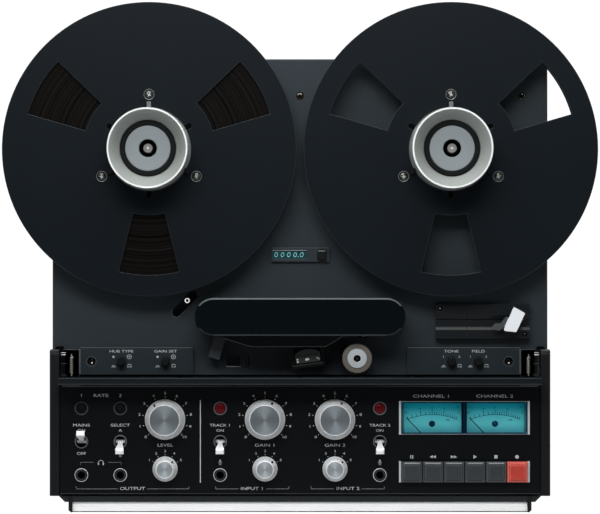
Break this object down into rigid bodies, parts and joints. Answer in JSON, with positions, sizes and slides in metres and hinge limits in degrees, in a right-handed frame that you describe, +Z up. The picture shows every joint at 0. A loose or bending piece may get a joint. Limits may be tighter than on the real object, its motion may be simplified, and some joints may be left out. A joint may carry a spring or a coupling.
{
  "type": "open-reel tape recorder",
  "caption": "Upright open-reel tape recorder with large windowed reels, locking hub collars, head cover, hinged access flap, level meters, knobs, toggles and transport keys.",
  "frame": {"origin": "on the ground plane, at the middle of the overall width and depth", "axes": "+X to the viewer's right along the width, +Y from the front to the back, +Z up"},
  "size_m": [0.5399, 0.207, 0.4617],
  "materials": {
    "cabinet_grey": "matt paint",
    "base_black": "matt",
    "deck_grey": "fine grained dark paint",
    "cheek_grey": "satin",
    "rail_aluminium": "satin anodised",
    "foot_rubber": "matt",
    "cover_black": "satin gloss",
    "head_metal": "polished and blackened",
    "splice_black": "satin",
    "meter_case": "matt",
    "meter_window": "clear",
    "bright_metal": "polished",
    "socket_black": "matt",
    "lamp_red": "clear red",
    "chassis_alloy": "cast",
    "motor_grey": "satin paint",
    "electronic_mix": "mixed",
    "switch_grey": "matt",
    "spindle_metal": "turned",
    "reel_black": "dark anodised",
    "tape_brown": "satin wound edge",
    "collar_aluminium": "bright turned",
    "arm_brown": "satin",
    "roller_rubber": "matt",
    "capstan_steel": "ground",
    "button_black": "satin gloss",
    "slider_grey": "matt",
    "lever_white": "satin",
    "knob_aluminium": "spun",
    "key_grey": "satin",
    "key_red": "satin",
    "needle_black": "matt paint"
  },
  "bodies": {
    "machine": {"cabinet": "cabinet_grey", "base_housing": "base_black", "rear_panel": "cabinet_grey", "chassis": "chassis_alloy", "deck_plate": "deck_grey", "control_panel": "deck_grey", "side_cheeks": "cheek_grey", "foot_rail": "rail_aluminium", "feet": "foot_rubber", "head_cover": "cover_black", "head_block": "head_metal", "splicing_block": "splice_black", "counter_display": "cover_black", "meter_units": "meter_case", "meter_glass": "meter_window", "bright_trim": "bright_metal", "jack_sockets": "socket_black", "record_lamps": "lamp_red", "drive_motors": "motor_grey", "electronics": "electronic_mix", "panel_controls": "switch_grey"},
    "left_reel_set": {"left_spindle": "spindle_metal", "left_reel": "reel_black", "left_tape_pack": "tape_brown"},
    "left_collar": {"left_adapter": "collar_aluminium"},
    "right_reel_set": {"right_spindle": "spindle_metal", "right_reel": "reel_black"},
    "right_collar": {"right_adapter": "collar_aluminium"},
    "tension_arm": {"tension_arm": "bright_metal"},
    "pinch_arm": {"pinch_arm": "arm_brown"},
    "pinch_roller": {"pinch_roller": "roller_rubber"},
    "capstan": {"capstan": "capstan_steel"},
    "access_flap": {"access_flap": "cheek_grey"},
    "counter_reset": {"counter_reset": "button_black"},
    "cutter_lever": {"cutter_lever": "lever_white"},
    "size_button": {"size_button": "button_black"},
    "level_button": {"level_button": "button_black"},
    "eq_button": {"eq_button": "button_black"},
    "flux_button": {"flux_button": "button_black"},
    "tape_slider": {"tape_slider": "slider_grey"},
    "speed_low_button": {"speed_low_button": "button_black"},
    "speed_high_button": {"speed_high_button": "button_black"},
    "power_toggle": {"power_toggle": "lever_white"},
    "monitor_toggle": {"monitor_toggle": "lever_white"},
    "left_toggle": {"left_toggle": "lever_white"},
    "right_toggle": {"right_toggle": "lever_white"},
    "volume_knob": {"volume_knob": "knob_aluminium"},
    "left_knob": {"left_knob": "knob_aluminium"},
    "right_knob": {"right_knob": "knob_aluminium"},
    "monitor_selector": {"monitor_selector": "knob_aluminium"},
    "left_selector": {"left_selector": "knob_aluminium"},
    "right_selector": {"right_selector": "knob_aluminium"},
    "pause_key": {"pause_key": "key_grey"},
    "rewind_key": {"rewind_key": "key_grey"},
    "forward_key": {"forward_key": "key_grey"},
    "play_key": {"play_key": "key_grey"},
    "stop_key": {"stop_key": "key_grey"},
    "record_key": {"record_key": "key_red"},
    "left_needle": {"left_needle": "needle_black"},
    "right_needle": {"right_needle": "needle_black"}
  },
  "joints": [
    {"name": "left_reel_spin", "type": "hinge", "parent": "machine", "child": "left_reel_set", "pos_m": [-0.1367, -0.0605, 0.3285], "axis": [0, -1, 0], "continuous": true},
    {"name": "right_reel_spin", "type": "hinge", "parent": "machine", "child": "right_reel_set", "pos_m": [0.1367, -0.0605, 0.3285], "axis": [0, -1, 0], "continuous": true},
    {"name": "left_collar_lock", "type": "hinge", "parent": "left_reel_set", "child": "left_collar", "pos_m": [-0.1367, -0.0825, 0.3285], "axis": [0, -1, 0], "range_deg": [-60, 0]},
    {"name": "right_collar_lock", "type": "hinge", "parent": "right_reel_set", "child": "right_collar", "pos_m": [0.1367, -0.0825, 0.3285], "axis": [0, -1, 0], "range_deg": [-60, 0]},
    {"name": "tension_arm_swing", "type": "hinge", "parent": "machine", "child": "tension_arm", "pos_m": [-0.13757, -0.0325, 0.21916], "axis": [0, -1, 0], "range_deg": [-19, 7], "stiffness_Nm_per_rad": 0.1, "springref_deg": 1.72},
    {"name": "pinch_arm_swing", "type": "hinge", "parent": "machine", "child": "pinch_arm", "pos_m": [0.03, -0.0425, 0.152], "axis": [0, -1, 0], "range_deg": [0, 16]},
    {"name": "pinch_roller_spin", "type": "hinge", "parent": "pinch_arm", "child": "pinch_roller", "pos_m": [0.0518, -0.0615, 0.1388], "axis": [0, -1, 0], "continuous": true},
    {"name": "capstan_spin", "type": "hinge", "parent": "machine", "child": "capstan", "pos_m": [0.05757, -0.0425, 0.16221], "axis": [0, -1, 0], "continuous": true},
    {"name": "flap_hinge", "type": "hinge", "parent": "machine", "child": "access_flap", "pos_m": [0, -0.072, 0.1193], "axis": [-1, 0, 0], "range_deg": [0, 90]},
    {"name": "counter_reset_push", "type": "slide", "parent": "machine", "child": "counter_reset", "axis": [0, 1, 0], "range_m": [0, 0.003], "stiffness_N_per_m": 400},
    {"name": "cutter_press", "type": "hinge", "parent": "machine", "child": "cutter_lever", "pos_m": [0.1974, -0.0555, 0.18], "axis": [0.9078, 0, -0.4195], "range_deg": [0, 10], "stiffness_Nm_per_rad": 0.03},
    {"name": "size_button_push", "type": "slide", "parent": "machine", "child": "size_button", "axis": [0, 1, 0], "range_m": [0, 0.004]},
    {"name": "level_button_push", "type": "slide", "parent": "machine", "child": "level_button", "axis": [0, 1, 0], "range_m": [0, 0.004]},
    {"name": "eq_button_push", "type": "slide", "parent": "machine", "child": "eq_button", "axis": [0, 1, 0], "range_m": [0, 0.004]},
    {"name": "flux_button_push", "type": "slide", "parent": "machine", "child": "flux_button", "axis": [0, 1, 0], "range_m": [0, 0.004]},
    {"name": "tape_slider_move", "type": "slide", "parent": "machine", "child": "tape_slider", "axis": [-1, 0, 0], "range_m": [0, 0.012]},
    {"name": "speed_low_button_push", "type": "slide", "parent": "machine", "child": "speed_low_button", "axis": [0, 1, 0], "range_m": [0, 0.0025], "stiffness_N_per_m": 500},
    {"name": "speed_high_button_push", "type": "slide", "parent": "machine", "child": "speed_high_button", "axis": [0, 1, 0], "range_m": [0, 0.0025], "stiffness_N_per_m": 500},
    {"name": "power_toggle_flip", "type": "hinge", "parent": "machine", "child": "power_toggle", "pos_m": [-0.1974, -0.0675, 0.064], "axis": [1, 0, 0], "range_deg": [0, 44]},
    {"name": "monitor_toggle_flip", "type": "hinge", "parent": "machine", "child": "monitor_toggle", "pos_m": [-0.1623, -0.0675, 0.064], "axis": [-1, 0, 0], "range_deg": [0, 44]},
    {"name": "left_toggle_flip", "type": "hinge", "parent": "machine", "child": "left_toggle", "pos_m": [-0.0721, -0.0675, 0.064], "axis": [-1, 0, 0], "range_deg": [0, 44]},
    {"name": "right_toggle_flip", "type": "hinge", "parent": "machine", "child": "right_toggle", "pos_m": [0.0721, -0.0675, 0.064], "axis": [-1, 0, 0], "range_deg": [0, 44]},
    {"name": "volume_knob_turn", "type": "hinge", "parent": "machine", "child": "volume_knob", "pos_m": [-0.1218, -0.0735, 0.0841], "axis": [0, 1, 0], "range_deg": [-96, 168]},
    {"name": "left_knob_turn", "type": "hinge", "parent": "machine", "child": "left_knob", "pos_m": [-0.0316, -0.0735, 0.0841], "axis": [0, 1, 0], "range_deg": [-156, 108]},
    {"name": "right_knob_turn", "type": "hinge", "parent": "machine", "child": "right_knob", "pos_m": [0.0316, -0.0735, 0.0841], "axis": [0, 1, 0], "range_deg": [-154, 110]},
    {"name": "monitor_selector_turn", "type": "hinge", "parent": "machine", "child": "monitor_selector", "pos_m": [-0.1218, -0.0735, 0.0394], "axis": [0, 1, 0], "range_deg": [-135, 45]},
    {"name": "left_selector_turn", "type": "hinge", "parent": "machine", "child": "left_selector", "pos_m": [-0.0316, -0.0735, 0.0394], "axis": [0, 1, 0], "range_deg": [-135, 45]},
    {"name": "right_selector_turn", "type": "hinge", "parent": "machine", "child": "right_selector", "pos_m": [0.0316, -0.0735, 0.0394], "axis": [0, 1, 0], "range_deg": [-135, 45]},
    {"name": "pause_key_press", "type": "slide", "parent": "machine", "child": "pause_key", "axis": [0, 1, 0], "range_m": [0, 0.003], "stiffness_N_per_m": 600},
    {"name": "rewind_key_press", "type": "slide", "parent": "machine", "child": "rewind_key", "axis": [0, 1, 0], "range_m": [0, 0.003], "stiffness_N_per_m": 600},
    {"name": "forward_key_press", "type": "slide", "parent": "machine", "child": "forward_key", "axis": [0, 1, 0], "range_m": [0, 0.003], "stiffness_N_per_m": 600},
    {"name": "play_key_press", "type": "slide", "parent": "machine", "child": "play_key", "axis": [0, 1, 0], "range_m": [0, 0.003], "stiffness_N_per_m": 600},
    {"name": "stop_key_press", "type": "slide", "parent": "machine", "child": "stop_key", "axis": [0, 1, 0], "range_m": [0, 0.003], "stiffness_N_per_m": 600},
    {"name": "record_key_press", "type": "slide", "parent": "machine", "child": "record_key", "axis": [0, 1, 0], "range_m": [0, 0.003], "stiffness_N_per_m": 600},
    {"name": "left_needle_swing", "type": "hinge", "parent": "machine", "child": "left_needle", "pos_m": [0.11993, -0.0652, 0.0608], "axis": [0, 1, 0], "range_deg": [0, 88], "stiffness_Nm_per_rad": 0.0001},
    {"name": "right_needle_swing", "type": "hinge", "parent": "machine", "child": "right_needle", "pos_m": [0.17697, -0.0652, 0.0608], "axis": [0, 1, 0], "range_deg": [0, 88], "stiffness_Nm_per_rad": 0.0001}
  ]
}
